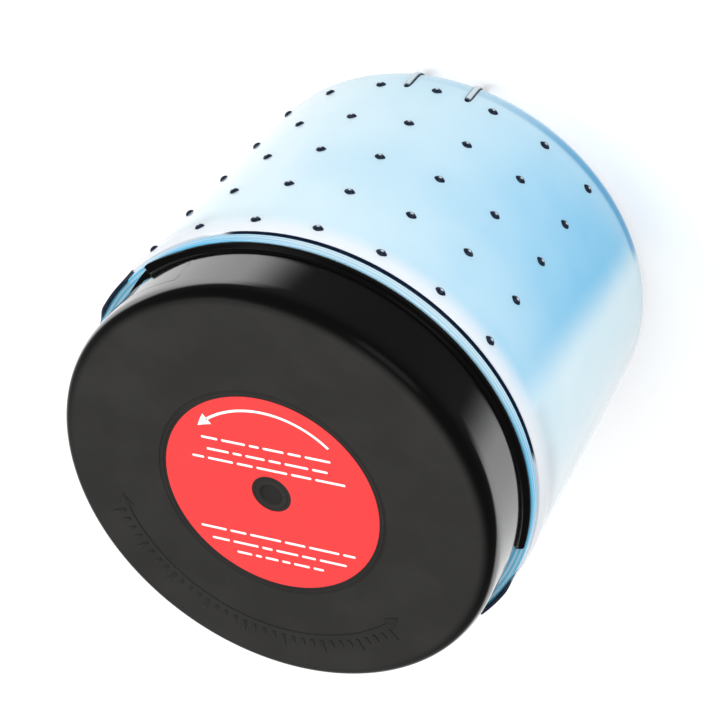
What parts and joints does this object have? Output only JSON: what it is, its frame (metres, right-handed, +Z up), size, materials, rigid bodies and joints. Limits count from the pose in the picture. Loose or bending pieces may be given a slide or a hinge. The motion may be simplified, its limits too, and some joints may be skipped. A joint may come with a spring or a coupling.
{
  "type": "bear canister",
  "caption": "Clear blue screw-top food canister with wall bumps and a black lid held by two spring snaps that catch stops on the collar.",
  "frame": {"origin": "centre of the underside", "axes": "+Z up along the canister's axis towards the lid, -Y towards the middle of the front field of bumps"},
  "size_m": [0.2264, 0.2302, 0.206],
  "materials": {
    "clear_housing": "clear blue polycarbonate, polished",
    "black_lid": "black moulded plastic, fine satin face and glossier skirt",
    "red_label": "red vinyl label with white print"
  },
  "bodies": {
    "housing": {"housing": "clear_housing"},
    "lid_carrier": {"label": "red_label"},
    "lid": {"lid": "black_lid"},
    "snap_1": {"snap_tongue_1": "black_lid"},
    "snap_2": {"snap_tongue_2": "black_lid"}
  },
  "joints": [
    {"name": "lid_rise", "type": "slide", "parent": "housing", "child": "lid_carrier", "axis": [0, 0, 1], "range_m": [0, 0.0401]},
    {"name": "lid_turn", "type": "hinge", "parent": "lid_carrier", "child": "lid", "pos_m": [0, 0, 0.206], "axis": [0, 0, 1], "range_deg": [0, 900], "deforming": ["snap_tongue_1", "snap_tongue_2"]},
    {"name": "snap_1_press", "type": "hinge", "parent": "lid", "child": "snap_1", "pos_m": [0.08013, -0.05694, 0.192], "axis": [0.5793, 0.8151, 0], "range_deg": [0, 6.3], "stiffness_Nm_per_rad": 0.8},
    {"name": "snap_2_press", "type": "hinge", "parent": "lid", "child": "snap_2", "pos_m": [-0.08013, 0.05694, 0.192], "axis": [-0.5793, -0.8151, 0], "range_deg": [0, 6.3], "stiffness_Nm_per_rad": 0.8}
  ],
  "couplings": [
    {"joint": "lid_rise", "follows": "lid_turn", "m_per_rad": 0.0025465}
  ]
}
